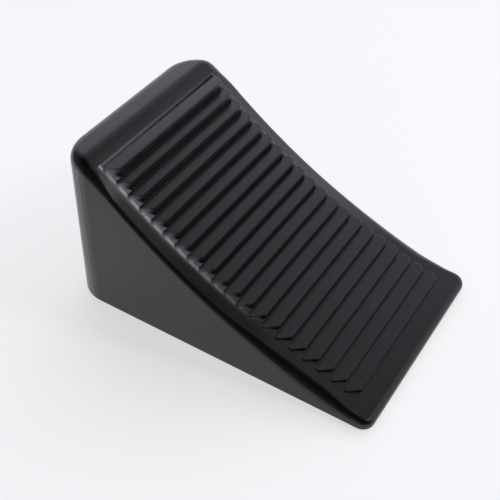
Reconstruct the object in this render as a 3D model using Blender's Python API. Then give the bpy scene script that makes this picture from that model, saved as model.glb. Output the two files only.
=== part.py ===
"""Moulded wheel chock: a hollow wedge with a curved, stepped ramp.

Run with: blender --background --python part.py
Metres, +Z up. X runs from the heel (tall end) to the toe, the ground is z = 0,
and the middle of the base is the origin. The shape is laid out in millimetres
from the heel and turned into metres where each mesh is made.
"""
import math

import bmesh
import bpy

# Overall sizes, millimetres
LENGTH = 203.0
WIDTH = 130.5
HEIGHT = 102.2
WALL = 3.2
GAP = 0.3                # clearance between neighbouring solids

# Plan view of the shell
HEEL_CORNER = 22.0       # plan radius of the two heel corners
TOE_CORNER = 7.0         # plan radius of the two toe corners
DRAFT = math.tan(math.radians(1.7))
RIM_RADIUS = 6.6         # rounding where the walls meet the top
RIM_SHARE = 0.55         # the rounding takes at most this share of a low wall
INNER_RIM_RADIUS = 3.0

# Profile of the top, from the heel
LAND_FRONT = 20.9        # the flat top land ends here
LAND_ROUNDING = 3.6
TOE_THICKNESS = 4.8

# Tyre arc that the tread noses lie on
TREADS = 20
ARC_RADIUS = 416.0
ARC_CENTRE = (314.4, 405.8)
FIRST_NOSE = math.radians(-131.59)
NOSE_STEP = math.radians(1.283)
FIRST_TREAD_RUN = 9.9    # from the foot of the steep band to the first nose
TREAD_SLOPE = math.tan(math.radians(7.0))
RISER_DRAFT = math.tan(math.radians(8.0))
TREAD_HALF_LENGTH = 53.3
TREAD_CORNER = 5.6       # plan radius of each tread's two toe-side corners
TREAD_SEAT = 1.6         # depth of the seat under the treads

# Inside
DECK = 3.6               # deck thickness, square to the ramp
HOLLOW_END = 182.0       # the hollow stops here, measured from the heel
WEB = 3.0
CROSS_WEBS = {"heel": 82.0, "toe": 132.0}

# Mesh fineness
HEEL_ARC_STEPS = 14
TOE_ARC_STEPS = 4
RIM_STEPS = 5
TREAD_ARC_STEPS = 4

MM = 0.001


# ---------------------------------------------------------------- profile

def nose(index):
    """Nose of one tread as (x, z); index 0 is the tread nearest the heel."""
    angle = FIRST_NOSE + NOSE_STEP * index
    return (ARC_CENTRE[0] + ARC_RADIUS * math.cos(angle),
            ARC_CENTRE[1] + ARC_RADIUS * math.sin(angle))


def foot(index):
    """Foot of the riser below one nose, where the next tread starts."""
    (x0, z0), (x1, z1) = nose(index), nose(index + 1)
    fall = ((z0 - z1) - TREAD_SLOPE * (x1 - x0)) / (1 - TREAD_SLOPE * RISER_DRAFT)
    return x0 + RISER_DRAFT * fall, z0 - fall


def band_foot():
    """Foot of the steep band, where the first tread starts."""
    x, z = nose(0)
    return x - FIRST_TREAD_RUN, z + TREAD_SLOPE * FIRST_TREAD_RUN


FEET = [band_foot()] + [foot(i) for i in range(TREADS)]


def land_rounding(steps=4):
    """Points of the round edge between the top land and the steep band."""
    corner = (LAND_FRONT, HEIGHT)
    fall = math.dist(corner, FEET[0])
    ease = LAND_ROUNDING / fall
    after = [corner[k] + (FEET[0][k] - corner[k]) * ease for k in (0, 1)]
    points = []
    for i in range(steps + 1):
        t = i / steps
        x = (1 - t) ** 2 * (corner[0] - LAND_ROUNDING) + 2 * t * (1 - t) * corner[0] + t * t * after[0]
        z = (1 - t * t) * HEIGHT + t * t * after[1]
        points.append((x, z))
    return points


PROFILE = [(0.0, HEIGHT)] + land_rounding() + FEET + [(LENGTH, TOE_THICKNESS)]


def top(x):
    """Height of the ramp's smooth margin at x."""
    x = min(max(x, 0.0), LENGTH)
    for (x0, z0), (x1, z1) in zip(PROFILE, PROFILE[1:]):
        if x <= x1:
            return z0 + (z1 - z0) * (x - x0) / (x1 - x0)
    return TOE_THICKNESS


def ceiling(x):
    """Height of the underside of the deck at x: the deck is thicker where it is steep."""
    rise = (top(x - 2.0) - top(x + 2.0)) / 4.0
    return top(x) - DECK * math.hypot(1.0, rise) - TREAD_SEAT


# ------------------------------------------------------------- mesh tools

def finish(name, mesh_data, color, roughness):
    """Turn a bmesh in millimetres into a named object with its own material."""
    bmesh.ops.translate(mesh_data, vec=(-LENGTH / 2, 0, 0), verts=mesh_data.verts)
    bmesh.ops.scale(mesh_data, vec=(MM, MM, MM), verts=mesh_data.verts)
    bmesh.ops.recalc_face_normals(mesh_data, faces=mesh_data.faces)
    mesh = bpy.data.meshes.new(name)
    mesh_data.to_mesh(mesh)
    mesh_data.free()
    mesh.shade_smooth()
    mesh.set_sharp_from_angle(angle=math.radians(30))
    material = bpy.data.materials.new(name)
    material.use_nodes = True
    shader = material.node_tree.nodes["Principled BSDF"]
    shader.inputs["Base Color"].default_value = (*color, 1.0)
    shader.inputs["Roughness"].default_value = roughness
    mesh.materials.append(material)
    part = bpy.data.objects.new(name, mesh)
    bpy.context.scene.collection.objects.link(part)
    return part


def add_loop(mesh_data, points):
    """Add a closed loop of vertices and the edges between them."""
    verts = [mesh_data.verts.new(p) for p in points]
    for a, b in zip(verts, verts[1:] + verts[:1]):
        mesh_data.edges.new((a, b))
    return verts


def loop_edges(loop):
    """Edges of a closed loop of vertices."""
    return [next(e for e in a.link_edges if b in e.verts) for a, b in zip(loop, loop[1:] + loop[:1])]


def join_loops(mesh_data, first, second):
    """Quads between two loops that have the same number of vertices."""
    count = len(first)
    for i in range(count):
        j = (i + 1) % count
        mesh_data.faces.new((first[i], first[j], second[j], second[i]))


# ------------------------------------------------------------------ shell

def side_stations():
    """x of the shell's side vertices: where the profile bends, past the heel corner."""
    stations = [x for x, _ in PROFILE if HEEL_CORNER + 0.6 < x < LENGTH - TOE_CORNER - 3.0]
    return stations + [LENGTH - TOE_CORNER - 1.5]


def half_outline(inset, heel_x, toe_x, stations):
    """Right-hand half of a rounded rectangle, from the heel to the toe, as (x, y)."""
    heel_radius = max(HEEL_CORNER - inset(heel_x), 0.5)
    toe_radius = max(TOE_CORNER - inset(toe_x), 0.5)
    points = []
    for i in range(HEEL_ARC_STEPS):
        angle = math.pi + math.pi / 2 * i / HEEL_ARC_STEPS
        x = heel_x + inset(heel_x) + heel_radius * (1 + math.cos(angle))
        y = -(WIDTH / 2 - inset(x)) + heel_radius * (1 + math.sin(angle))
        points.append((x, y))
    points += [(x, -(WIDTH / 2 - inset(x))) for x in stations]
    for i in range(TOE_ARC_STEPS + 1):
        angle = -math.pi / 2 + math.pi / 2 * i / TOE_ARC_STEPS
        x = toe_x - inset(toe_x) - toe_radius * (1 - math.cos(angle))
        y = -(WIDTH / 2 - inset(x)) + toe_radius * (1 + math.sin(angle))
        points.append((x, y))
    return points


def mirrored(points):
    """The half outline followed by its mirror image, as one closed loop."""
    return points + [(x, -y, *rest) for x, y, *rest in reversed(points)]


def wall_loops(mesh_data, heel_x, toe_x, stations, thickness, roof, radius):
    """Loops up one drafted wall and round its top edge, from the base up."""
    def rounding(x):
        return min(radius, RIM_SHARE * max(roof(x), 0.5))

    loops = []
    base = half_outline(lambda x: thickness, heel_x, toe_x, stations)
    loops.append(add_loop(mesh_data, mirrored([(x, y, 0.0) for x, y in base])))
    for step in range(RIM_STEPS + 1):
        angle = math.pi / 2 * step / RIM_STEPS
        inward, drop = 1 - math.cos(angle), 1 - math.sin(angle)
        ring = half_outline(lambda x: thickness + DRAFT * roof(x) + inward * rounding(x),
                            heel_x, toe_x, stations)
        ring = [(x, y, roof(x) - drop * rounding(x)) for x, y in ring]
        loops.append(add_loop(mesh_data, mirrored(ring)))
    for lower, upper in zip(loops, loops[1:]):
        join_loops(mesh_data, lower, upper)
    return loops


def close_top(mesh_data, loop, seat):
    """Strips across the top; between the seat's two ends they step down into it."""
    half = len(loop) // 2
    near, far = loop[:half], loop[half:][::-1]
    if seat is None:
        for i in range(half - 1):
            mesh_data.faces.new((near[i], near[i + 1], far[i + 1], far[i]))
        return
    start, end, half_width, depth = seat
    rims = {}
    for i in range(half):
        x, _, z = near[i].co
        if start - 0.01 <= x <= end + 0.01:
            corners = [(-half_width, z), (-half_width, z - depth),
                       (half_width, z - depth), (half_width, z)]
            rims[i] = [mesh_data.verts.new((x, y, height)) for y, height in corners]
    inside = sorted(rims)
    for i in range(half - 1):
        if i in rims and i + 1 in rims:
            row, following = rims[i], rims[i + 1]
            mesh_data.faces.new((near[i], near[i + 1], following[0], row[0]))
            for k in range(3):
                mesh_data.faces.new((row[k], following[k], following[k + 1], row[k + 1]))
            mesh_data.faces.new((row[3], following[3], far[i + 1], far[i]))
        elif i + 1 in rims:
            row = rims[i + 1]
            mesh_data.faces.new((near[i], near[i + 1], row[0], row[3], far[i + 1], far[i]))
        elif i in rims:
            row = rims[i]
            mesh_data.faces.new((near[i], near[i + 1], far[i + 1], far[i], row[3], row[0]))
        else:
            mesh_data.faces.new((near[i], near[i + 1], far[i + 1], far[i]))
    for i in (inside[0], inside[-1]):
        mesh_data.faces.new(rims[i])


def make_shell():
    """Outer moulding: four drafted walls, the deck with its tread seat, open below."""
    mesh_data = bmesh.new()
    stations = side_stations()
    outer = wall_loops(mesh_data, 0.0, LENGTH, stations, 0.0, top, RIM_RADIUS)
    close_top(mesh_data, outer[-1], (FEET[0][0], FEET[-1][0], TREAD_HALF_LENGTH + GAP, TREAD_SEAT))
    inner_stations = [x for x in stations if x < HOLLOW_END - TOE_CORNER - 2.0]
    inner = wall_loops(mesh_data, 0.0, HOLLOW_END + WALL, inner_stations, WALL, ceiling, INNER_RIM_RADIUS)
    close_top(mesh_data, inner[-1], None)
    rims = loop_edges(outer[0]) + loop_edges(inner[0])
    bmesh.ops.triangle_fill(mesh_data, edges=rims, use_beauty=True, normal=(0, 0, -1))
    return finish("shell", mesh_data, (0.018, 0.018, 0.020), 0.32)


# ----------------------------------------------------------------- treads

def margin_line(index):
    """The smooth margin beside one tread: x and z where it starts and ends."""
    return FEET[index], FEET[index + 1]


def tread_section(index, setback):
    """Cross-section of one tread as (x, z), with its nose set back towards the heel."""
    (x0, z0), (x1, z1) = margin_line(index)
    slope = (z1 - z0) / (x1 - x0)
    tip_x, tip_z = nose(index)
    tip_x, tip_z = tip_x - setback, tip_z + TREAD_SLOPE * setback
    above = tip_z - (z0 + slope * (tip_x - x0))
    fall = above / (1 + slope * RISER_DRAFT)
    foot_x = tip_x + RISER_DRAFT * fall
    start = x0 + GAP
    seat = GAP - TREAD_SEAT
    return [(start, z0 + slope * GAP + seat),
            (start, z0 - TREAD_SLOPE * GAP),
            (tip_x, tip_z),
            (foot_x, tip_z - fall),
            (foot_x, tip_z - fall + seat)]


def make_tread(index):
    """One cross tread: a step that rises out of the ramp to a nose, then drops."""
    mesh_data = bmesh.new()
    stations = []
    for i in range(TREAD_ARC_STEPS + 1):
        angle = math.pi / 2 * i / TREAD_ARC_STEPS
        y = TREAD_HALF_LENGTH - TREAD_CORNER * (1 - math.cos(angle))
        stations.append((y, TREAD_CORNER * (1 - math.sin(angle))))
    stations = [(-y, e) for y, e in stations] + [(y, e) for y, e in reversed(stations)]
    loops = [add_loop(mesh_data, [(x, y, z) for x, z in tread_section(index, setback)])
             for y, setback in stations]
    for before, after in zip(loops, loops[1:]):
        join_loops(mesh_data, before, after)
    mesh_data.faces.new(loops[0])
    mesh_data.faces.new(loops[-1])
    return finish(f"tread_{index + 1:02d}", mesh_data, (0.022, 0.022, 0.024), 0.38)


# ------------------------------------------------------------------- webs

def inner_half_width(height):
    """Half width of the hollow at a height above the ground."""
    return WIDTH / 2 - WALL - DRAFT * height


def make_centre_web():
    """Lengthwise web that holds up the middle of the deck."""
    mesh_data = bmesh.new()
    clear = GAP * 1.6
    start = WALL + DRAFT * HEIGHT + INNER_RIM_RADIUS + GAP
    end = HOLLOW_END - 12.0
    inner = [x for x, _ in PROFILE if start < x < end]
    roof = [(x, ceiling(x) - clear) for x in [start] + inner + [end]]
    outline = [(start, 0.0)] + roof + [(end, 0.0)]
    sides = [add_loop(mesh_data, [(x, side * WEB / 2, z) for x, z in outline]) for side in (-1, 1)]
    join_loops(mesh_data, sides[0], sides[1])
    for loop in sides:
        mesh_data.faces.new(loop)
    return finish("centre_web", mesh_data, (0.024, 0.024, 0.026), 0.45)


def make_cross_web(label, x_middle, side):
    """Half of a crosswise web, between the centre web and one side wall."""
    mesh_data = bmesh.new()
    hand = "left" if side > 0 else "right"
    loops = []
    for x in (x_middle - WEB / 2, x_middle + WEB / 2):
        roof = ceiling(x) - GAP * 1.6
        shoulder = roof - INNER_RIM_RADIUS
        outline = [(WEB / 2 + GAP, 0.0),
                   (inner_half_width(0.0) - GAP, 0.0),
                   (inner_half_width(ceiling(x)) - GAP, shoulder),
                   (inner_half_width(ceiling(x)) - GAP - INNER_RIM_RADIUS, roof),
                   (WEB / 2 + GAP, roof)]
        loops.append(add_loop(mesh_data, [(x, side * y, z) for y, z in outline]))
    join_loops(mesh_data, loops[0], loops[1])
    for loop in loops:
        mesh_data.faces.new(loop)
    return finish(f"cross_web_{label}_{hand}", mesh_data, (0.024, 0.024, 0.026), 0.45)


def main():
    """Empty the file and build every node."""
    for old in list(bpy.data.objects):
        bpy.data.objects.remove(old, do_unlink=True)
    make_shell()
    for index in range(TREADS):
        make_tread(index)
    make_centre_web()
    for label, x_middle in CROSS_WEBS.items():
        for side in (-1, 1):
            make_cross_web(label, x_middle, side)


main()
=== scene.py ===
"""Looks of a moulded wheel chock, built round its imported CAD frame.

A hollow black plastic wedge: a flat land at the heel, a steep band, a concave
ramp with twenty cross treads, and a thin apron at the toe. Lengths named in
millimetres run from the heel; the frame's origin is the middle of the base.
"""
import logging
import math
from dataclasses import dataclass
from enum import Enum
from functools import cached_property
from typing import Callable, Iterable

import bmesh
import bpy
import numpy as np
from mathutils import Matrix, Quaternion, Vector


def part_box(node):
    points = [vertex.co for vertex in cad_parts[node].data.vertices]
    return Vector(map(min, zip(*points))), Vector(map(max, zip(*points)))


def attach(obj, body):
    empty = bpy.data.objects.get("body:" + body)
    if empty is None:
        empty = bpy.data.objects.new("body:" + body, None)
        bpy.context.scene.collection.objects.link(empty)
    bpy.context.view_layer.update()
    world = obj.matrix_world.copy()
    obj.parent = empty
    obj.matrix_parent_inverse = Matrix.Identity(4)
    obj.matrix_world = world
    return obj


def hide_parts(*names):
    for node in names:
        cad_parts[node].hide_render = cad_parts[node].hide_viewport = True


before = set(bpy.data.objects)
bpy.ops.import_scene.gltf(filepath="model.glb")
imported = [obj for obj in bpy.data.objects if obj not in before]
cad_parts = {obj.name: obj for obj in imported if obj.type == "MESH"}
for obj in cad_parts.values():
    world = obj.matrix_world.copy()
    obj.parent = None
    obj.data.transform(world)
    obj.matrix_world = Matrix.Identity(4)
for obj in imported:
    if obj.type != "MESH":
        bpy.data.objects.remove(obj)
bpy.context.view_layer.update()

Piece = bpy.types.Object
Tree = bpy.types.NodeTree
Socket = bpy.types.NodeSocket
LOG = logging.getLogger("wheel_chock")
MM = 0.001
RUB = "rub"              # vertex attribute: how much an edge is rubbed
SCUFF_AND_HIGHLIGHT = "crest"          # vertex attribute: white marks along the crest and tread ends, partly scuffs and partly a painted highlight
FAR_SHARE = 0.2          # painted highlight and scuffs on the far side, against 1 on the near side


class Slot(Enum):
    """The record's material slots."""

    SHELL = "shell"
    TREAD = "tread"
    WEB = "web"


# --- the bench


class Bench:
    """Modelling by hand: every step picks by place and runs one operator."""

    @staticmethod
    def clear() -> None:
        """Leave edit mode and deselect everything."""
        if bpy.context.object and bpy.context.object.mode != "OBJECT":
            bpy.ops.object.mode_set(mode="OBJECT")
        bpy.ops.object.select_all(action="DESELECT")

    @staticmethod
    def cube(name: str, low: Vector, high: Vector) -> Piece:
        """Add a box between two corners.

        Args:
            name: name of the new piece.
            low: lowest corner, metres.
            high: highest corner, metres.

        Returns:
            The new object, with its place in its mesh.
        """
        Bench.clear()
        middle, size = (low + high) / 2, high - low
        bpy.ops.mesh.primitive_cube_add(size=1.0, location=middle, scale=size)
        box = bpy.context.object
        bpy.ops.object.transform_apply(location=True, rotation=True, scale=True)
        box.name = box.data.name = name
        return box

    @staticmethod
    def edit(piece: Piece) -> None:
        """Open one piece in edit mode with nothing picked."""
        Bench.clear()
        bpy.context.view_layer.objects.active = piece
        piece.select_set(True)
        bpy.ops.object.mode_set(mode="EDIT")
        bpy.ops.mesh.select_all(action="DESELECT")

    @staticmethod
    def close() -> None:
        """Go back to object mode."""
        bpy.ops.object.mode_set(mode="OBJECT")

    @staticmethod
    def _pick(piece: Piece, kind: str, test: Callable[[object], bool]) -> None:
        """Pick what passes a test in the open piece.

        Args:
            piece: the open piece.
            kind: VERT, EDGE or FACE.
            test: says of a part of the mesh whether to pick it.
        """
        bpy.ops.mesh.select_mode(type=kind)
        mesh = bmesh.from_edit_mesh(piece.data)
        parts = {"VERT": mesh.verts, "EDGE": mesh.edges, "FACE": mesh.faces}[kind]
        for part in parts:
            part.select_set(False)
        for part in parts:
            if test(part):
                part.select_set(True)
        if kind == "VERT":
            mesh.select_flush_mode()
        bmesh.update_edit_mesh(piece.data)

    @staticmethod
    def pick_points(piece: Piece, test: Callable[[Vector], bool]) -> None:
        """Pick the vertices that pass a test of their place."""
        Bench._pick(piece, "VERT", lambda v: test(v.co))

    @staticmethod
    def pick_edges(piece: Piece,
                   test: Callable[[Vector, Vector, "bmesh.types.BMEdge"], bool]) -> None:
        """Pick the edges that pass a test of their two ends and themselves."""
        Bench._pick(piece, "EDGE", lambda e: test(e.verts[0].co, e.verts[1].co, e))

    @staticmethod
    def pick_faces(piece: Piece, test: Callable[[Vector, Vector], bool]) -> None:
        """Pick the faces that pass a test of their middle and normal."""
        Bench._pick(piece, "FACE", lambda f: test(f.calc_center_median(), f.normal))

    @staticmethod
    def weld(distance: float) -> None:
        """Merge vertices of the open mesh within a distance in millimetres."""
        bpy.ops.mesh.select_all(action="SELECT")
        bpy.ops.mesh.remove_doubles(threshold=distance * MM)

    @staticmethod
    def face_out() -> None:
        """Turn all faces of the open mesh outward and go back to object mode."""
        bpy.ops.mesh.select_all(action="SELECT")
        bpy.ops.mesh.normals_make_consistent(inside=False)
        bpy.ops.object.mode_set(mode="OBJECT")

    @staticmethod
    def cut(places: Iterable[float], axis: int) -> None:
        """Cut the whole open mesh square to one axis.

        Args:
            places: where to cut, metres.
            axis: 0 for x, 1 for y, 2 for z.
        """
        normal = [0.0, 0.0, 0.0]
        normal[axis] = 1.0
        for place in places:
            bpy.ops.mesh.select_all(action="SELECT")
            point = [n * place for n in normal]
            bpy.ops.mesh.bisect(plane_co=point, plane_no=normal)

    @staticmethod
    def dress(piece: Piece, finish: bpy.types.Material, angle: float) -> None:
        """Give a piece its material and smooth shading.

        Args:
            piece: the piece.
            finish: its material.
            angle: edges sharper than this stay sharp, degrees.
        """
        piece.data.materials.clear()
        piece.data.materials.append(finish)
        Bench.clear()
        bpy.context.view_layer.objects.active = piece
        piece.select_set(True)
        bpy.ops.object.shade_smooth_by_angle(angle=math.radians(angle))
        weighted = piece.modifiers.new("normals", "WEIGHTED_NORMAL")
        weighted.keep_sharp = True
        bpy.ops.object.modifier_apply(modifier=weighted.name)

    @staticmethod
    def mark(piece: Piece, name: str, values: np.ndarray) -> None:
        """Store one number per vertex under a name that a finish can read."""
        layer = piece.data.attributes.new(name, "FLOAT", "POINT")
        layer.data.foreach_set("value", values.astype(np.float32))

    @staticmethod
    def points(piece: Piece) -> np.ndarray:
        """Read the vertices of a piece.

        Returns:
            One row each, millimetres from the heel.
        """
        flat = np.zeros(len(piece.data.vertices) * 3)
        piece.data.vertices.foreach_get("co", flat)
        rows = flat.reshape(-1, 3) / MM
        rows[:, 0] += RAMP.length / 2
        return rows

    @staticmethod
    def put(piece: Piece, rows: np.ndarray) -> None:
        """Move the vertices of a piece.

        Args:
            piece: the piece.
            rows: its new vertices, millimetres from the heel.
        """
        rows = rows.copy()
        rows[:, 0] -= RAMP.length / 2
        piece.data.vertices.foreach_set("co", (rows * MM).ravel())
        piece.data.update()


def spot(x: float, y: float, z: float) -> Vector:
    """A place given in millimetres from the heel, as metres in the frame."""
    return Vector(((x - RAMP.length / 2) * MM, y * MM, z * MM))


def smooth_step(value: float, low: float, high: float) -> float:
    """Rise smoothly from 0 at low to 1 at high."""
    share = min(max((value - low) / (high - low), 0.0), 1.0)
    return share * share * (3 - 2 * share)


# --- the ramp


@dataclass(frozen=True)
class Ramp:
    """The ramp's long section: land, steep band, tyre arc and apron."""

    length: float = 203.0
    height: float = 102.2
    land_front: float = 20.9
    land_rounding: float = 3.6
    arc_radius: float = 416.0
    arc_x: float = 314.4
    arc_z: float = 405.8
    first_nose: float = math.radians(-131.88)
    nose_step: float = math.radians(1.283)
    treads: int = 20
    tread_slope: float = math.tan(math.radians(4.0))
    riser_draft: float = math.tan(math.radians(2.0))
    first_run: float = 8.4
    apron: tuple[tuple[float, float], ...] = (
        (194.5, 6.42), (197.5, 5.95), (200.0, 5.35), (201.7, 4.85), (203.0, 4.4))

    def nose(self, index: int) -> tuple[float, float]:
        """Nose of one tread as (x, z)."""
        angle = self.first_nose + self.nose_step * index
        return (self.arc_x + self.arc_radius * math.cos(angle),
                self.arc_z + self.arc_radius * math.sin(angle))

    def foot(self, index: int) -> tuple[float, float]:
        """Find where one tread starts: the foot of the riser before it.

        Args:
            index: which tread, 0 nearest the heel; the count gives the last foot.

        Returns:
            The foot as (x, z).
        """
        if index == 0:
            x, z = self.nose(0)
            return x - self.first_run, z + self.tread_slope * self.first_run
        (x0, z0), (x1, z1) = self.nose(index - 1), self.nose(index)
        fall = (z0 - z1) - self.tread_slope * (x1 - x0)
        fall /= 1 - self.tread_slope * self.riser_draft
        return x0 + self.riser_draft * fall, z0 - fall

    def feet(self) -> list[tuple[float, float]]:
        """Feet of all the risers, the band's foot first."""
        return [self.foot(i) for i in range(self.treads + 1)]

    def land_edge(self, steps: int = 5) -> list[tuple[float, float]]:
        """Follow the round edge between the land and the steep band.

        Args:
            steps: spans along the edge.

        Returns:
            Its points as (x, z).
        """
        corner, (x1, z1) = (self.land_front, self.height), self.foot(0)
        ease = self.land_rounding / math.dist(corner, (x1, z1))
        after = (corner[0] + (x1 - corner[0]) * ease, corner[1] + (z1 - corner[1]) * ease)
        rows = []
        for i in range(steps + 1):
            t = i / steps
            a, b, c = (1 - t) ** 2, 2 * t * (1 - t), t * t
            rows.append((a * (corner[0] - self.land_rounding) + b * corner[0] + c * after[0],
                         (a + b) * corner[1] + c * after[1]))
        return rows

    def line(self) -> list[tuple[float, float]]:
        """The whole line of the smooth deck, from heel to toe."""
        return [(0.0, self.height), *self.land_edge(), *self.feet(), *self.apron]

    def roof(self, x: np.ndarray | float) -> np.ndarray:
        """Height of the smooth deck at x."""
        rows = self.line()
        return np.interp(x, [r[0] for r in rows], [r[1] for r in rows])


RAMP = Ramp()


# --- shared looks


class Effects:
    """Shader groups that several finishes share, each built once."""

    @staticmethod
    def _group(name: str, takes: dict[str, float | None], gives: Iterable[str]
               ) -> tuple[Tree, bpy.types.Node, bpy.types.Node]:
        """Start a group with named sockets.

        Args:
            name: the group's name.
            takes: inputs and their defaults; None makes a vector.
            gives: names of the outputs, all numbers.

        Returns:
            The group, its input node and its output node.
        """
        tree = bpy.data.node_groups.new(name, "ShaderNodeTree")
        for label, default in takes.items():
            kind = "NodeSocketVector" if default is None else "NodeSocketFloat"
            socket = tree.interface.new_socket(label, in_out="INPUT", socket_type=kind)
            if default is not None:
                socket.default_value = default
        for label in gives:
            tree.interface.new_socket(label, in_out="OUTPUT", socket_type="NodeSocketFloat")
        return tree, tree.nodes.new("NodeGroupInput"), tree.nodes.new("NodeGroupOutput")

    @staticmethod
    def feed(tree: Tree, socket: Socket, source: object) -> None:
        """Give an input a number, a colour or another node's output.

        Args:
            tree: the tree that both belong to.
            socket: the input.
            source: what it gets.
        """
        if isinstance(source, Socket):
            tree.links.new(source, socket)
        else:
            socket.default_value = source

    @staticmethod
    def math_node(tree: Tree, kind: str, *operands: object, clamp: bool = False) -> Socket:
        """Add one Math node.

        Args:
            tree: where it goes.
            kind: its operation.
            operands: sockets or numbers.
            clamp: keep the result between 0 and 1.

        Returns:
            Its result.
        """
        node = tree.nodes.new("ShaderNodeMath")
        node.operation, node.use_clamp = kind, clamp
        for slot, operand in zip(node.inputs, operands):
            Effects.feed(tree, slot, operand)
        return node.outputs[0]

    @staticmethod
    def mix(tree: Tree, factor: object, first: object, second: object) -> Socket:
        """Add one colour Mix node.

        Args:
            tree: where it goes.
            factor: how much of the second colour.
            first: a socket or a colour.
            second: a socket or a colour.

        Returns:
            The mixed colour.
        """
        node = tree.nodes.new("ShaderNodeMix")
        node.data_type = "RGBA"
        for label, source in (("Factor", factor), ("A", first), ("B", second)):
            Effects.feed(tree, node.inputs[label], source)
        return node.outputs["Result"]

    @staticmethod
    def span(tree: Tree, value: Socket, ends: tuple, kind: str = "SMOOTHSTEP") -> Socket:
        """Add one Map Range node.

        Args:
            tree: where it goes.
            value: the socket it maps.
            ends: from low and high, then to low and high where not 0 and 1.
            kind: how it runs between them.

        Returns:
            The mapped value.
        """
        node = tree.nodes.new("ShaderNodeMapRange")
        node.interpolation_type = kind
        tree.links.new(value, node.inputs["Value"])
        for label, end in zip(("From Min", "From Max", "To Min", "To Max"), ends):
            Effects.feed(tree, node.inputs[label], end)
        return node.outputs[0]

    @staticmethod
    def noise(tree: Tree, vector: Socket, scale: object, detail: float = 2.0,
               rough: float = 0.5) -> Socket:
        """Add one Noise node.

        Args:
            tree: where it goes.
            vector: its coordinates.
            scale: a socket or a number.
            detail: its octaves.
            rough: how strong the finer octaves are.

        Returns:
            Its value.
        """
        node = tree.nodes.new("ShaderNodeTexNoise")
        node.inputs["Detail"].default_value = detail
        node.inputs["Roughness"].default_value = rough
        tree.links.new(vector, node.inputs["Vector"])
        Effects.feed(tree, node.inputs["Scale"], scale)
        return node.outputs[0]

    @cached_property
    def grain(self) -> Tree:
        """Moulded surface: a fine height and a slow mottle."""
        tree, start, end = self._group(
            "moulded_grain", {"Vector": None, "Fine": 2600.0, "Slow": 38.0},
            ["Height", "Mottle"])
        vector = start.outputs["Vector"]
        fine = self.noise(tree, vector, start.outputs["Fine"], 3.0, 0.6)
        orange = self.noise(tree, vector, 420.0)
        both = self.math_node(tree, "MULTIPLY_ADD", fine, 0.35, orange)
        slow = self.noise(tree, vector, start.outputs["Slow"], 4.0, 0.55)
        tree.links.new(both, end.inputs["Height"])
        tree.links.new(slow, end.inputs["Mottle"])
        return tree

    @cached_property
    def scuffs(self) -> Tree:
        """Hairline scuffs in two directions, gathered in patches."""
        tree, start, end = self._group("hairline_scuffs", {"Vector": None, "Cover": 0.5},
                                       ["Mask"])
        vector = start.outputs["Vector"]
        lines = []
        for turn, stretch, scale in ((0.35, 26.0, 62.0), (-0.9, 34.0, 50.0)):
            mapping = tree.nodes.new("ShaderNodeMapping")
            mapping.inputs["Rotation"].default_value = (0.2, 0.1, turn)
            mapping.inputs["Scale"].default_value = (stretch, 1.0, stretch * 0.5)
            tree.links.new(vector, mapping.inputs["Vector"])
            streak = self.noise(tree, mapping.outputs[0], scale)
            lines.append(self.span(tree, streak, (0.66, 0.74)))
        either = self.math_node(tree, "MAXIMUM", *lines)
        patch = self.noise(tree, vector, 46.0)
        least = self.math_node(tree, "SUBTRACT", 1.0, start.outputs["Cover"])
        most = self.math_node(tree, "ADD", least, 0.18)
        where = self.span(tree, patch, (least, most))
        tree.links.new(self.math_node(tree, "MULTIPLY", either, where, clamp=True),
                       end.inputs["Mask"])
        return tree

    @cached_property
    def rub_and_highlight(self) -> Tree:
        """An edge mark broken up by noise: rubbed wear on edges, and the painted highlight along
        the crest.
        """
        tree, start, end = self._group(
            "edge_rub_and_highlight", {"Vector": None, "Edge": 0.0, "Scale": 300.0, "Cover": 0.5},
            ["Mask"])
        vector = start.outputs["Vector"]
        chips = self.noise(tree, vector, start.outputs["Scale"], 4.0, 0.65)
        least = self.math_node(tree, "SUBTRACT", 1.0, start.outputs["Cover"])
        most = self.math_node(tree, "ADD", least, 0.22)
        broken = self.span(tree, chips, (least, most))
        tree.links.new(self.math_node(tree, "MULTIPLY", broken, start.outputs["Edge"], clamp=True),
                       end.inputs["Mask"])
        return tree

    @cached_property
    def dust(self) -> Tree:
        """A thin film of dust on what faces up."""
        tree, start, end = self._group("dust_film", {"Vector": None, "Amount": 0.2},
                                       ["Mask"])
        vector = start.outputs["Vector"]
        shape = tree.nodes.new("ShaderNodeNewGeometry")
        split = tree.nodes.new("ShaderNodeSeparateXYZ")
        tree.links.new(shape.outputs["Normal"], split.inputs[0])
        upward = self.span(tree, split.outputs["Z"], (0.35, 1.0))
        cloud = self.noise(tree, vector, 85.0, 5.0, 0.6)
        specks = self.noise(tree, vector, 1500.0, 1.0)
        film = self.span(tree, cloud, (0.35, 0.75))
        point = self.span(tree, specks, (0.70, 0.78))
        laid = self.math_node(tree, "MAXIMUM", self.math_node(tree, "MULTIPLY", film, 0.45), point)
        amount = self.math_node(tree, "MULTIPLY", upward, start.outputs["Amount"])
        tree.links.new(self.math_node(tree, "MULTIPLY", laid, amount, clamp=True),
                       end.inputs["Mask"])
        return tree


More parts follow.
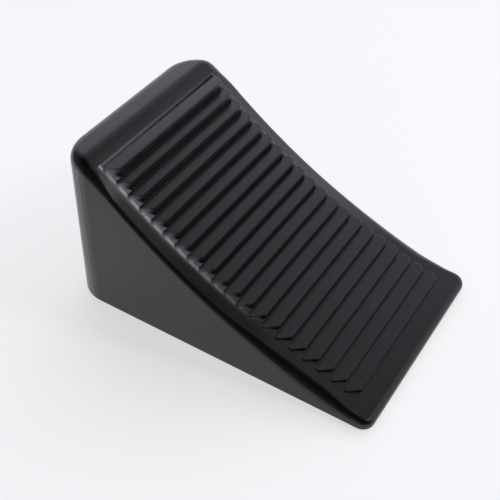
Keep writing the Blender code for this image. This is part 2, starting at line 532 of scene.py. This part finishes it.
@dataclass(frozen=True)
class MouldedFinish:
    """Black moulded plastic with grain, scuffs, rubbed edges, a little dust, and white crest marks
    that are partly scuffs and partly a painted highlight.
    """

    name: str
    black: tuple[float, float, float] = (0.0040, 0.0039, 0.0048)
    worn: tuple[float, float, float] = (0.20, 0.20, 0.21)
    smoothest: float = 0.24
    roughest: float = 0.32
    grain_height: float = 0.00003
    scuff_cover: float = 0.47
    rub_cover: float = 0.50
    rub_strength: float = 0.25
    rub_scale: float = 420.0
    # crest marks: near-white paint that is partly scuffs and partly a painted highlight
    crest_strength: float = 0.0
    crest_cover: float = 0.76
    crest_scale: float = 330.0
    scuff_strength: float = 0.12
    worn_dulling: float = 0.35
    scuff_and_highlight_white: tuple[float, float, float] = (0.80, 0.80, 0.82)
    dust: float = 0.012

    def make(self, effects: Effects) -> bpy.types.Material:
        """Build the finish.

        Args:
            effects: the shared shader groups.

        Returns:
            The material.
        """
        material = bpy.data.materials.new(self.name)
        material.use_nodes = True
        tree = material.node_tree
        shader = tree.nodes["Principled BSDF"]
        place = tree.nodes.new("ShaderNodeTexCoord").outputs["Object"]

        def group(source: Tree, **values: float) -> bpy.types.Node:
            """Place one shared group on the object's own coordinates."""
            node = tree.nodes.new("ShaderNodeGroup")
            node.node_tree = source
            tree.links.new(place, node.inputs["Vector"])
            for label, value in values.items():
                node.inputs[label].default_value = value
            return node

        def mark(name: str) -> Socket:
            """Read one of the marks stored on the vertices."""
            node = tree.nodes.new("ShaderNodeAttribute")
            node.attribute_name = name
            return node.outputs["Fac"]

        grain = group(effects.grain)
        scuffs = group(effects.scuffs, Cover=self.scuff_cover)
        rub = group(effects.rub_and_highlight, Scale=self.rub_scale, Cover=self.rub_cover)
        tree.links.new(mark(RUB), rub.inputs["Edge"])
        dust = group(effects.dust, Amount=1.0)
        step = effects.math_node
        marks = step(tree, "MAXIMUM", step(tree, "MULTIPLY", scuffs.outputs[0],
                                           self.scuff_strength),
                     step(tree, "MULTIPLY", rub.outputs[0], self.rub_strength))
        marks = step(tree, "MAXIMUM", marks, step(tree, "MULTIPLY", dust.outputs[0], self.dust))
        tone = effects.mix(tree, marks, (*self.black, 1.0), (*self.worn, 1.0))
        # painted highlight: the crest marks turn the colour towards near-white, partly scuffs and
        # partly the key light's glint
        crest = group(effects.rub_and_highlight, Scale=self.crest_scale, Cover=self.crest_cover)
        tree.links.new(mark(SCUFF_AND_HIGHLIGHT), crest.inputs["Edge"])
        white = step(tree, "MULTIPLY", crest.outputs[0], self.crest_strength)
        tree.links.new(effects.mix(tree, white, tone, (*self.scuff_and_highlight_white, 1.0)),
                       shader.inputs["Base Color"])
        gloss = effects.span(tree, grain.outputs["Mottle"],
                             (0.3, 0.7, self.smoothest, self.roughest), "LINEAR")
        tree.links.new(step(tree, "MULTIPLY_ADD", marks, self.worn_dulling, gloss),
                       shader.inputs["Roughness"])
        bump = tree.nodes.new("ShaderNodeBump")
        bump.inputs["Distance"].default_value = self.grain_height
        bump.inputs["Strength"].default_value = 0.6
        height = step(tree, "SUBTRACT", grain.outputs["Height"],
                      step(tree, "MULTIPLY", scuffs.outputs[0], 0.5))
        tree.links.new(height, bump.inputs["Height"])
        tree.links.new(bump.outputs["Normal"], shader.inputs["Normal"])
        shader.inputs["IOR"].default_value = 1.5
        return material


# --- the shell


@dataclass(frozen=True)
class Crown:
    """Where a vertex of the block's crown lies, millimetres and radians."""

    normal: tuple[float, float]
    inset: float
    reach: float
    sign: float
    lean: float

    @property
    def beside(self) -> bool:
        """Whether it belongs to a side wall."""
        return self.normal[0] == 0.0

    @property
    def on_rim(self) -> bool:
        """Whether it lies on the round rim and not on the flat top."""
        return self.lean > 0.02


@dataclass
class Shell:
    """The one-piece moulding: walls, rim, land, band, deck and the hollow below."""

    width: float = 130.5
    wall: float = 3.2
    draft: float = math.tan(math.radians(1.7))
    heel_corner: float = 22.0
    toe_corner: float = 7.0
    rim: float = 6.6
    low_rim: float = 3.4
    rim_share: float = 0.55
    crest: float = 53.0
    groove_depth: float = 1.7
    groove_width: float = 0.75
    groove_cuts: tuple[float, ...] = (-1.8, -1.2, -0.6, 0.6, 1.2, 1.8)
    groove_reach: float = 1.7
    crest_ease: float = 1.1
    crest_cuts: tuple[float, ...] = (-1.0, -0.5, 0.0, 0.5, 1.0)
    margin_tilt: float = 15.0
    tilt_from: float = 26.0
    tilt_full: float = 42.0
    tilt_until: float = 95.0
    tilt_gone: float = 165.0
    deck: float = 3.6
    seat: float = 1.6
    hollow_end: float = 185.2
    inner_rim: float = 3.0
    foot_edge: float = 0.5
    more_cuts: tuple[float, ...] = (14.0, 193.3, 195.0)
    crown_slack: float = 0.4
    heel_kept: float = 4.7
    toe_reach: float = 11.4
    toe_core: float = 8.0
    same_point: float = 0.03
    front_rub: float = 0.12
    # where the crest's white marks, partly scuffs and partly a painted highlight, start, fade and
    # end
    scuff_and_highlight_start: float = 27.0
    scuff_and_highlight_fade: float = 55.0
    scuff_and_highlight_end: float = 125.0

    def build(self, finish: bpy.types.Material) -> Piece:
        """Model the moulding and dress it.

        Args:
            finish: its material.

        Returns:
            The shell.
        """
        outer = self._block("shell_moulding", hollow=False)
        self._cut(outer, hollow=False)
        Bench.put(outer, self._settled(Bench.points(outer)))
        inner = self._block("shell_hollow", hollow=True)
        self._cut(inner, hollow=True)
        Bench.put(inner, self._hollowed(Bench.points(inner)))
        shell = self._join(outer, inner)
        rows = Bench.points(shell)
        Bench.mark(shell, RUB, self._rubbed(rows))
        Bench.mark(shell, SCUFF_AND_HIGHLIGHT, self._crested(rows))
        Bench.dress(shell, finish, 40.0)
        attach(shell, "root")
        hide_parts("shell")
        return shell

    def _block(self, name: str, hollow: bool) -> Piece:
        """Make a full-height drafted block with round upright corners and rim.

        Args:
            name: name of the block.
            hollow: whether it is the hollow's block.

        Returns:
            The block, open below.
        """
        inset, toe, rim = ((self.wall, self.hollow_end, self.inner_rim) if hollow
                           else (0.0, RAMP.length, self.rim))
        top, half = RAMP.height, self.width / 2 - inset
        block = Bench.cube(name, spot(inset, -half, 0.0), spot(toe, half, top))
        Bench.edit(block)
        high = top * MM - 1e-5
        Bench.pick_points(block, lambda p: p.z > high)
        shrink = (half - self.draft * top) / half
        bpy.ops.transform.resize(value=(1, shrink, 1), center_override=(0, 0, 0))
        heel = spot(inset, 0, 0).x + 1e-5
        Bench.pick_points(block, lambda p: p.z > high and p.x < heel)
        bpy.ops.transform.translate(value=(self.draft * top * MM, 0, 0))
        for radius, steps, at_toe in ((self.heel_corner - inset, 18, False),
                                      (self.toe_corner, 8, True)):
            Bench.pick_edges(block, lambda a, b, e: abs(a.z - b.z) > 0.05
                             and (a.x > 0.0) == at_toe)
            bpy.ops.mesh.bevel(offset=radius * MM, segments=steps, affect="EDGES")
        Bench.pick_edges(block, lambda a, b, e: min(a.z, b.z) > high)
        bpy.ops.mesh.bevel(offset=rim * MM, segments=9, affect="EDGES")
        Bench.pick_edges(block, lambda a, b, e: max(a.z, b.z) < 1e-5)
        bpy.ops.mesh.bevel(offset=self.foot_edge * MM, segments=2, affect="EDGES")
        Bench.pick_faces(block, lambda middle, normal: normal.z < -0.99)
        bpy.ops.mesh.delete(type="FACE")
        Bench.close()
        return block

    def _cut(self, block: Piece, hollow: bool) -> None:
        """Cut a block where the ramp bends, and the outside's also beside the treads.

        Args:
            block: the block.
            hollow: whether it is the hollow's block.
        """
        Bench.edit(block)
        edge, feet = [x for x, _ in RAMP.land_edge()], [x for x, _ in RAMP.feet()]
        if hollow:
            last = self.hollow_end - self.inner_rim - 1.0
            Bench.cut([spot(x, 0, 0).x for x in edge + feet if x < last], 0)
        else:
            stations = edge + feet + [(a + b) / 2 for a, b in zip(feet, feet[1:])]
            stations += self.more_cuts
            stations += [feet[0] + self.groove_width * share for share in self.groove_cuts]
            Bench.cut([spot(x, 0, 0).x for x in sorted(stations)], 0)
            lines = [self.crest + self.crest_ease * share for share in self.crest_cuts]
            Bench.cut([side * y * MM for y in lines for side in (-1, 1)], 1)
        Bench.weld(self.same_point)
        Bench.close()

    @property
    def top_half(self) -> float:
        """Half the width at the top of the drafted walls."""
        return self.width / 2 - self.draft * RAMP.height

    def _beside(self, x: float) -> float:
        """How fully the margin at x is shaped as beside the steep treads, 0 to 1."""
        return (smooth_step(x, self.tilt_from, self.tilt_full)
                * (1 - smooth_step(x, self.tilt_until, self.tilt_gone)))

    def _radius(self, x: float, roof: float) -> float:
        """Rounding of the rim at x, where the deck is at a height."""
        full = self.rim + (self.low_rim - self.rim) * self._beside(x)
        return min(full, self.rim_share * max(roof, 0.5))

    def _settled(self, rows: np.ndarray) -> np.ndarray:
        """Lower the block's crown onto the ramp's line.

        Args:
            rows: block vertices, millimetres from the heel.

        Returns:
            The same vertices on the finished outside.
        """
        out = rows.copy()
        for i, (x, y, z) in enumerate(rows):
            crown = self._crown(x, y, z)
            if crown is None:
                continue
            roof = float(RAMP.roof(x))
            spread = self.draft * (RAMP.height - roof)
            beside_wall = abs(crown.normal[1]) > 0.5
            radius = self._radius(x if beside_wall else RAMP.length, roof)
            tilt = math.radians(self.margin_tilt) * self._beside(x) if beside_wall else 0.0
            inset, drop = self._profile(crown, radius, tilt, spread)
            new_x, new_y = self._moved(crown, (x, y), inset, spread)
            level = min(abs(new_y), self.top_half + spread - radius * (1 - math.sin(tilt)))
            drop += self._margin_fall(level, tilt)
            if abs(new_y) < self.crest - 0.9 * self.crest_ease:
                drop += self._groove(new_x)
            out[i] = (new_x, new_y, float(RAMP.roof(new_x)) - drop)
        return out

    def _crown(self, x: float, y: float, z: float) -> Crown | None:
        """Find which wall a vertex of the block's crown belongs to.

        Args:
            x: from the heel, millimetres.
            y: across, millimetres.
            z: height, millimetres.

        Returns:
            Its place on the crown, or None for a vertex that stays where it is.
        """
        if z < RAMP.height - self.rim - self.crown_slack:
            return None
        lean = math.acos(max(0.0, min(1.0, 1 - (RAMP.height - z) / self.rim)))
        sign = 1.0 if y > 0 else -1.0
        side_in, toe_in = self.top_half - abs(y), RAMP.length - x
        past_x = x - (RAMP.length - self.toe_corner)
        past_y = abs(y) - (self.top_half - self.toe_corner)
        if past_x > 0 and past_y > 0:
            away = math.hypot(past_x, past_y) or 1e-9
            normal = (past_x / away, sign * past_y / away)
            return Crown(normal, self.toe_corner - away, self.toe_corner, sign, lean)
        if toe_in < side_in:
            return Crown((1.0, 0.0), toe_in, self.toe_reach, sign, lean)
        if x < self.heel_corner - self.heel_kept:
            return None
        return Crown((0.0, sign), side_in, self.top_half - self.crest, sign, lean)

    def _profile(self, crown: Crown, radius: float, tilt: float,
                 spread: float) -> tuple[float, float]:
        """Follow the rim and the margin inward from the wall.

        Args:
            crown: where the vertex lies.
            radius: rounding of the rim, millimetres.
            tilt: outward tilt of the margin, radians.
            spread: how much wider the drafted walls are here, millimetres.

        Returns:
            How far in from the wall, and how far below the margin.
        """
        if crown.on_rim:
            turn = tilt + (math.pi / 2 - tilt) * min(crown.lean / (math.pi / 2), 1.0)
            return radius * (1 - math.sin(turn)), radius * (math.cos(tilt) - math.cos(turn))
        widened = crown.reach + (spread if crown.beside else 0.0)
        if crown.inset >= crown.reach:
            return crown.inset + (widened - crown.reach), 0.0
        start = radius * (1 - math.sin(tilt))
        span = crown.reach - self.rim
        share = (crown.inset - self.rim) / span if span > 0 else 1.0
        return start + (widened - start) * max(share, 0.0), 0.0

    def _moved(self, crown: Crown, at: tuple[float, float], inset: float,
               spread: float) -> tuple[float, float]:
        """Place a vertex of the crown seen from above.

        Args:
            crown: where the vertex lies.
            at: its old (x, y).
            inset: how far in from the wall it goes, millimetres.
            spread: how much wider the drafted walls are here, millimetres.

        Returns:
            Its new (x, y).
        """
        (x, y), sign, wall_y = at, crown.sign, self.top_half + spread
        if crown.beside:
            round_in = self.draft * RAMP.height + self.heel_corner - x
            if round_in <= 0:
                return x, sign * (wall_y - inset)
            if not crown.on_rim:
                return x, y + sign * spread
            bow = math.sqrt(max((self.heel_corner - inset) ** 2 - round_in ** 2, 0.0))
            return x, sign * (wall_y - self.heel_corner + bow)
        if crown.normal == (1.0, 0.0):
            wider = (wall_y - self.toe_core) / (self.top_half - self.toe_core)
            return RAMP.length - inset, y * wider if abs(y) > self.crest else y
        away = self.toe_corner - inset
        return (RAMP.length - self.toe_corner + crown.normal[0] * away,
                sign * (wall_y - self.toe_corner) + crown.normal[1] * away)

    def _groove(self, x: float) -> float:
        """Depth of the groove between the steep band and the first tread."""
        away = (x - RAMP.foot(0)[0]) / self.groove_width
        return self.groove_depth * math.exp(-away * away) if abs(away) < self.groove_reach else 0.0

    def _margin_fall(self, across: float, tilt: float) -> float:
        """Find how far the tilted margin has fallen.

        Args:
            across: distance from the middle, millimetres.
            tilt: the margin's tilt, radians.

        Returns:
            The fall, millimetres.
        """
        slope, ease = math.tan(tilt), self.crest_ease
        past = across - self.crest
        if past <= -ease:
            return 0.0
        if past >= ease:
            return slope * past
        return slope * (past + ease) ** 2 / (4 * ease)

    def _ceiling(self, x: float) -> float:
        """Height of the underside of the deck at x."""
        rise = float(RAMP.roof(x - 2.0) - RAMP.roof(x + 2.0)) / 4.0
        return float(RAMP.roof(x)) - self.deck * math.hypot(1.0, rise) - self.seat

    def _hollowed(self, rows: np.ndarray) -> np.ndarray:
        """Lower the hollow's crown to the underside of the deck.

        Args:
            rows: block vertices, millimetres from the heel.

        Returns:
            The same vertices on the finished inside.
        """
        out = rows.copy()
        top, rim = RAMP.height, self.inner_rim
        for i, (x, y, z) in enumerate(rows):
            if z < top - rim - self.crown_slack:
                continue
            ceiling = self._ceiling(x)
            spread = self.draft * (top - ceiling)
            keep = min(1.0, 0.6 * ceiling / rim)
            sign = 1.0 if y > 0 else -1.0
            edge = self.width / 2 - self.wall - self.draft * top
            move = spread if abs(y) > edge - rim - 0.5 else 0.0
            near_heel = x < self.heel_corner
            out[i] = (x - (spread if x < self.wall + 8.0 else 0.0),
                      y + sign * (spread * abs(y) / edge if near_heel else move),
                      ceiling - (top - z) * keep)
        return out

    def _join(self, outer: Piece, inner: Piece) -> Piece:
        """Turn the hollow inside out, join it and close the base between them.

        Args:
            outer: the outside.
            inner: the hollow.

        Returns:
            The joined piece.
        """
        Bench.edit(inner)
        bpy.ops.mesh.select_all(action="SELECT")
        bpy.ops.mesh.flip_normals()
        Bench.clear()
        outer.select_set(True)
        inner.select_set(True)
        bpy.context.view_layer.objects.active = outer
        bpy.ops.object.join()
        Bench.edit(outer)
        Bench.pick_edges(outer, lambda a, b, e: len(e.link_faces) == 1)
        bpy.ops.mesh.fill(use_beauty=True)
        Bench.face_out()
        return outer

    def _rubbed(self, rows: np.ndarray) -> np.ndarray:
        """Mark the rubbed base edge and land's front edge.

        Args:
            rows: vertices, millimetres from the heel.

        Returns:
            One mark each, 0 to 1.
        """
        x, z = rows[:, 0], rows[:, 2]
        base = np.clip(1.0 - z / 1.2, 0, 1)
        front = np.exp(-((x - RAMP.land_front) / 1.6) ** 2) * (z > RAMP.height - 3.0)
        return np.maximum(base, self.front_rub * front)

    def _crested(self, rows: np.ndarray) -> np.ndarray:
        """Mark the crest beside the treads with white that is partly scuffs and partly a painted
        highlight, fading towards the toe.

        Args:
            rows: vertices, millimetres from the heel.

        Returns:
            One mark each, 0 to 1.
        """
        x, across, z = rows[:, 0], np.abs(rows[:, 1]), rows[:, 2]
        # painted highlight: a white line along the crest, strongest on the near side and fading
        # towards the toe
        near = np.exp(-((across - self.crest) / 1.0) ** 2)
        on_top = z > RAMP.roof(x) - 2.2
        fade = np.clip((self.scuff_and_highlight_end - x) / self.scuff_and_highlight_fade, 0.0, 1.0)
        fade *= x > self.scuff_and_highlight_start
        return near * on_top * fade * np.where(rows[:, 1] < 0, 1.0, FAR_SHARE)


# --- the treads


@dataclass
class Treads:
    """Twenty cross treads: one modelled, the rest copied and let into the deck."""

    half_length: float = 53.3
    run: float = 8.0
    rise: float = 5.0
    corner: float = 5.2
    heel_corner: float = 1.9
    corner_ease: float = 0.8
    edge: float = 0.55
    strip: float = 0.5
    first_strip: float = 1.2
    step: float = 0.6
    bare_until: float = 6.0
    bare_gone: float = 14.0
    embed: float = 1.2
    fillet: tuple[tuple[float, float], ...] = ((0.5, 0.0), (0.25, 0.04), (0.0, 0.15))

    def build(self, finish: bpy.types.Material) -> list[Piece]:
        """Model the treads and dress them.

        Args:
            finish: their material.

        Returns:
            The treads from the heel to the toe.
        """
        master = self._master()
        shape = Bench.points(master)
        shape[:, 0] -= RAMP.length / 2
        pieces = []
        for index in range(RAMP.treads):
            piece = master if index == RAMP.treads - 1 else master.copy()
            if piece is not master:
                piece.data = master.data.copy()
                bpy.context.scene.collection.objects.link(piece)
            piece.name = piece.data.name = f"tread_bar_{index + 1:02d}"
            Bench.put(piece, self._seated(shape, index))
            Bench.mark(piece, RUB, self._rubbed(shape))
            Bench.mark(piece, SCUFF_AND_HIGHLIGHT, self._scuffs_and_highlights(shape, index))
            Bench.dress(piece, finish, 50.0)
            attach(piece, "root")
            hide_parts(f"tread_{index + 1:02d}")
            pieces.append(piece)
        return pieces

    def _master(self) -> Piece:
        """Model one plain bar with a flared foot.

        Returns:
            The bar; its toe-side corners are cut near and round far.
        """
        bar = Bench.cube("tread_master", Vector((0, -self.half_length * MM, 0)),
                         Vector((self.run * MM, self.half_length * MM, self.rise * MM)))
        Bench.edit(bar)
        half = self.run / 2 * MM
        corners = ((self.corner, 1, self.run, False), (self.corner, 9, self.run, True),
                   (self.heel_corner, 4, 0.0, False), (self.heel_corner, 4, 0.0, True),
                   (self.corner_ease, 3, self.run, False))
        for size, steps, at, far in corners:
            Bench.pick_edges(bar, lambda a, b, e, x=at * MM, far=far: abs(a.z - b.z) > 1e-3
                             and abs(a.x - x) < 1e-5 and (a.y > 0) == far)
            bpy.ops.mesh.bevel(offset=size * MM, segments=steps, affect="EDGES")
        high = self.rise * MM - 1e-5
        Bench.pick_edges(bar, lambda a, b, e: min(a.z, b.z) > high)
        bpy.ops.mesh.bevel(offset=self.edge * MM, segments=4, affect="EDGES")
        Bench.cut([z * MM for z, _ in self.fillet if z > 0], 2)
        for z, out in self.fillet:
            if out:
                Bench.pick_points(bar, lambda p, at=z * MM: abs(p.z - at) < 1e-5)
                bpy.ops.transform.resize(
                    value=((half + out * MM) / half,
                           (self.half_length + out) / self.half_length, 1),
                    center_override=(half, 0, z * MM))
        Bench.pick_faces(bar, lambda middle, normal: normal.z < -0.99 and middle.z < 1e-5)
        bpy.ops.mesh.extrude_region_move(
            TRANSFORM_OT_translate={"value": (0, 0, -self.embed * MM)})
        Bench.face_out()
        return bar

    def _seated(self, shape: np.ndarray, index: int) -> np.ndarray:
        """Fit the plain bar between two feet of the ramp.

        Args:
            shape: the plain bar's vertices, millimetres.
            index: which tread, 0 nearest the heel.

        Returns:
            The tread's vertices, millimetres from the heel.
        """
        (x0, z0), (x1, z1) = RAMP.foot(index), RAMP.foot(index + 1)
        tip_x, tip_z = RAMP.nose(index)
        bare = 1.0 - min(max((index - self.bare_until) / (self.bare_gone - self.bare_until), 0), 1)
        start = x0 + (self.strip * bare if index else self.first_strip)
        along, height = shape[:, 0] / self.run, shape[:, 2] / self.rise
        x = start + along * (tip_x - start)
        deck = np.interp(x, [x0, x1], [z0, z1]) + (x - np.clip(x, x0, x1)) * (z1 - z0) / (x1 - x0)
        first = np.interp(start, [x0, x1], [z0, z1]) + self.step * bare
        top = first + (tip_z - first) * (x - start) / (tip_x - start)
        lift = np.maximum(top - deck, 0.05)
        up = np.maximum(height, 0.0)
        z = deck + up * lift + np.minimum(shape[:, 2], 0.0)
        x = x + RAMP.riser_draft * (1 - up) * lift * np.clip(along, 0, 1) ** 2
        return np.column_stack([x, shape[:, 1], z])

    def _rubbed(self, shape: np.ndarray) -> np.ndarray:
        """Mark the round top edge, strongest along the nose.

        Args:
            shape: the plain bar's vertices, millimetres.

        Returns:
            One mark each, 0 to 1.
        """
        depth = (self.rise - shape[:, 2]) / self.edge
        rounded = np.clip(1 - np.abs(depth - 0.35) / 0.45, 0, 1)
        nose = np.clip(shape[:, 0] / self.run, 0.3, 1.0)
        return rounded * nose

    def _scuffs_and_highlights(self, shape: np.ndarray, index: int) -> np.ndarray:
        """Mark white that is partly scuffs and partly a painted highlight: ends near the heel, a
        corner dash near the toe.

        Args:
            shape: the plain bar's vertices, millimetres.
            index: which tread, 0 nearest the heel.

        Returns:
            One mark each, 0 to 1.
        """
        across, height = np.abs(shape[:, 1]), shape[:, 2] / self.rise
        end = np.clip((across - self.half_length + 1.0) / 0.8, 0, 1) * np.clip(1.4 - height, 0, 1)
        corner = np.exp(-((shape[:, 0] - self.run + 0.5) / 0.8) ** 2
                        - ((across - self.half_length + self.corner) / 0.9) ** 2)
        toeward = np.clip((index - self.bare_until) / (self.bare_gone - self.bare_until), 0, 1)
        # painted highlight: the white ends and corner dashes are weaker on the far side
        side = np.where(shape[:, 1] < 0, 1.0, FAR_SHARE)
        return side * (end * (1 - toeward) + corner * (height < 0.04) * toeward)


# --- the webs


@dataclass
class Webs:
    """The stiffening webs inside the hollow, with eased edges."""

    nodes: tuple[str, ...] = ("centre_web", "cross_web_heel_left", "cross_web_heel_right",
                              "cross_web_toe_left", "cross_web_toe_right")
    edge: float = 0.45
    sink: float = 0.5

    def build(self, finish: bpy.types.Material) -> list[Piece]:
        """Model the webs and dress them.

        Args:
            finish: their material.

        Returns:
            The webs.
        """
        return [self._web(node, finish) for node in self.nodes]

    def _web(self, node: str, finish: bpy.types.Material) -> Piece:
        """Make one web: the frame's shape, let into its neighbours, edges eased.

        Args:
            node: the web's node.
            finish: its material.

        Returns:
            The web.
        """
        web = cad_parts[node].copy()
        web.data = web.data.copy()
        web.parent = None
        for key in [k for k in web.keys() if k.startswith("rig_")]:
            del web[key]
        bpy.context.scene.collection.objects.link(web)
        web.name = web.data.name = node + "_moulded"
        low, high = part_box(node)
        Bench.edit(web)
        Bench.weld(0.01)
        bpy.ops.mesh.dissolve_limited(angle_limit=math.radians(0.5))
        middle, size = (low + high) / 2, high - low
        grow = [1.0, 1.0, (size.z + self.sink * MM) / size.z]
        along = 0 if node == "centre_web" else 1
        grow[along] = (size[along] + 2 * self.sink * MM) / size[along]
        bpy.ops.mesh.select_all(action="SELECT")
        bpy.ops.transform.resize(value=grow, center_override=(middle.x, middle.y, low.z))
        bpy.ops.mesh.normals_make_consistent(inside=False)
        Bench.pick_edges(web, lambda a, b, e: len(e.link_faces) == 2
                         and e.calc_face_angle(0) > math.radians(35))
        bpy.ops.mesh.bevel(offset=self.edge * MM, segments=2, affect="EDGES")
        Bench.close()
        rows = Bench.points(web)
        Bench.mark(web, RUB, np.clip(1.0 - rows[:, 2] / 1.5, 0, 1))
        Bench.dress(web, finish, 35.0)
        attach(web, "root")
        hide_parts(node)
        return web


# --- the studio


@dataclass(frozen=True)
class Panel:
    """A soft square lamp that faces the chock."""

    name: str
    azimuth: float
    elevation: float
    distance: float
    size: float
    radiance: float

    def light(self) -> None:
        """Hang the lamp."""
        lamp = bpy.data.lights.new(self.name, "AREA")
        lamp.shape, lamp.size = "SQUARE", self.size
        lamp.energy = self.radiance * math.pi * self.size ** 2
        holder = bpy.data.objects.new(self.name, lamp)
        bpy.context.scene.collection.objects.link(holder)
        a, e = math.radians(self.azimuth), math.radians(self.elevation)
        way = Vector((math.cos(a) * math.cos(e), math.sin(a) * math.cos(e), math.sin(e)))
        holder.location = Vector((0, 0, 0.05)) + way * self.distance
        holder.rotation_euler = way.to_track_quat("Z", "Y").to_euler()


@dataclass
class Studio:
    """Plain pale floor, soft light and the camera."""

    panels: tuple[Panel, ...] = (
        Panel("key_panel", 26.0, 46.0, 1.5, 0.26, 7.5),
    )
    heights: tuple[tuple[float, float], ...] = (
        (0.0, 1.3), (0.5, 1.5), (0.6, 1.3), (0.69, 0.68), (0.8, 0.58), (1.0, 0.1))
    tint: tuple[float, float, float] = (1.0, 0.98, 1.10)
    behind: tuple[float, ...] = (0.10, 0.58, 0.12, 1.0)
    aside: tuple[float, ...] = (-0.1, 0.45, 1.0, 0.62)
    floor_size: float = 8.0
    floor_glow: float = 0.62
    lens: float = 64.45
    eye: tuple[float, float, float] = (0.1995, -0.3255, 0.3956)
    look: tuple[float, float, float] = (-0.395, 0.604, -0.692)
    roll: float = 0.91

    def build(self) -> None:
        """Set out the whole studio."""
        self._world()
        self._floor()
        for panel in self.panels:
            panel.light()
        self._camera()
        bpy.context.scene.view_settings.view_transform = "Standard"

    def _world(self) -> None:
        """A pale surround: bright low down behind the chock, dim overhead."""
        world = bpy.data.worlds.new("studio")
        bpy.context.scene.world = world
        world.use_nodes = True
        tree = world.node_tree
        sky = tree.nodes["Background"]
        way = tree.nodes.new("ShaderNodeTexCoord").outputs["Generated"]
        split = tree.nodes.new("ShaderNodeSeparateXYZ")
        tree.links.new(way, split.inputs[0])
        height = tree.nodes.new("ShaderNodeValToRGB")
        tree.links.new(split.outputs["Z"], height.inputs[0])
        ramp = height.color_ramp
        while len(ramp.elements) < len(self.heights):
            ramp.elements.new(0.5)
        for element, (place, level) in zip(ramp.elements, self.heights):
            element.position = place
            element.color = (*(level * share for share in self.tint), 1.0)
        levels = [Effects.span(tree, split.outputs[label], ends)
                  for label, ends in (("Y", self.behind), ("X", self.aside))]
        tree.links.new(height.outputs[0], sky.inputs["Color"])
        tree.links.new(Effects.math_node(tree, "MULTIPLY", *levels), sky.inputs["Strength"])

    def _floor(self) -> None:
        """A wide pale floor."""
        Bench.clear()
        bpy.ops.mesh.primitive_plane_add(size=self.floor_size, location=(0, 0, -0.0004))
        floor = bpy.context.object
        floor.name = floor.data.name = "studio_floor"
        material = bpy.data.materials.new("floor_paper")
        material.use_nodes = True
        tree = material.node_tree
        shader = tree.nodes["Principled BSDF"]
        place = tree.nodes.new("ShaderNodeTexCoord").outputs["Object"]
        tone = Effects.mix(tree, Effects.noise(tree, place, 5.0),
                           (0.88, 0.88, 0.88, 1), (0.92, 0.92, 0.92, 1))
        tree.links.new(tone, shader.inputs["Base Color"])
        for label, value in (("Roughness", 0.9), ("Specular IOR Level", 0.1),
                             ("Emission Color", (1, 1, 1, 1)),
                             ("Emission Strength", self.floor_glow)):
            shader.inputs[label].default_value = value
        floor.data.materials.append(material)

    def _camera(self) -> None:
        """The camera, from above the toe's right-hand corner."""
        data = bpy.data.cameras.new("camera")
        data.lens, data.sensor_width = self.lens, 36.0
        data.clip_start, data.clip_end = 0.01, 50.0
        camera = bpy.data.objects.new("camera", data)
        bpy.context.scene.collection.objects.link(camera)
        camera.location = self.eye
        look = Vector(self.look).normalized()
        turn = look.to_track_quat("-Z", "Y")
        camera.rotation_mode = "QUATERNION"
        camera.rotation_quaternion = Quaternion(look, math.radians(self.roll)) @ turn
        bpy.context.scene.camera = camera


def main() -> None:
    """Build every piece in order and report it."""
    logging.basicConfig(level=logging.INFO, format="%(message)s")
    effects = Effects()
    # crest_strength sets the white crest and tread-end marks: partly scuffs, partly a painted
    # highlight
    smooth_black = MouldedFinish("black_shell_plastic", crest_strength=0.95).make(effects)
    tread_black = MouldedFinish("black_tread_plastic", smoothest=0.23, roughest=0.31,
                                scuff_cover=0.3, rub_strength=0.03,
                                crest_strength=0.6).make(effects)
    web_black = MouldedFinish("black_inner_plastic", smoothest=0.5, roughest=0.6,
                              dust=0.02).make(effects)
    shell = Shell().build(smooth_black)
    LOG.info("%s: %d faces", shell.name, len(shell.data.polygons))
    for piece in Treads().build(tread_black) + Webs().build(web_black):
        LOG.info("%s: %d faces", piece.name, len(piece.data.polygons))
    studio = Studio()
    studio.build()
    LOG.info("studio: floor, %d lamps and camera", len(studio.panels))


if __name__ == "__main__":
    main()
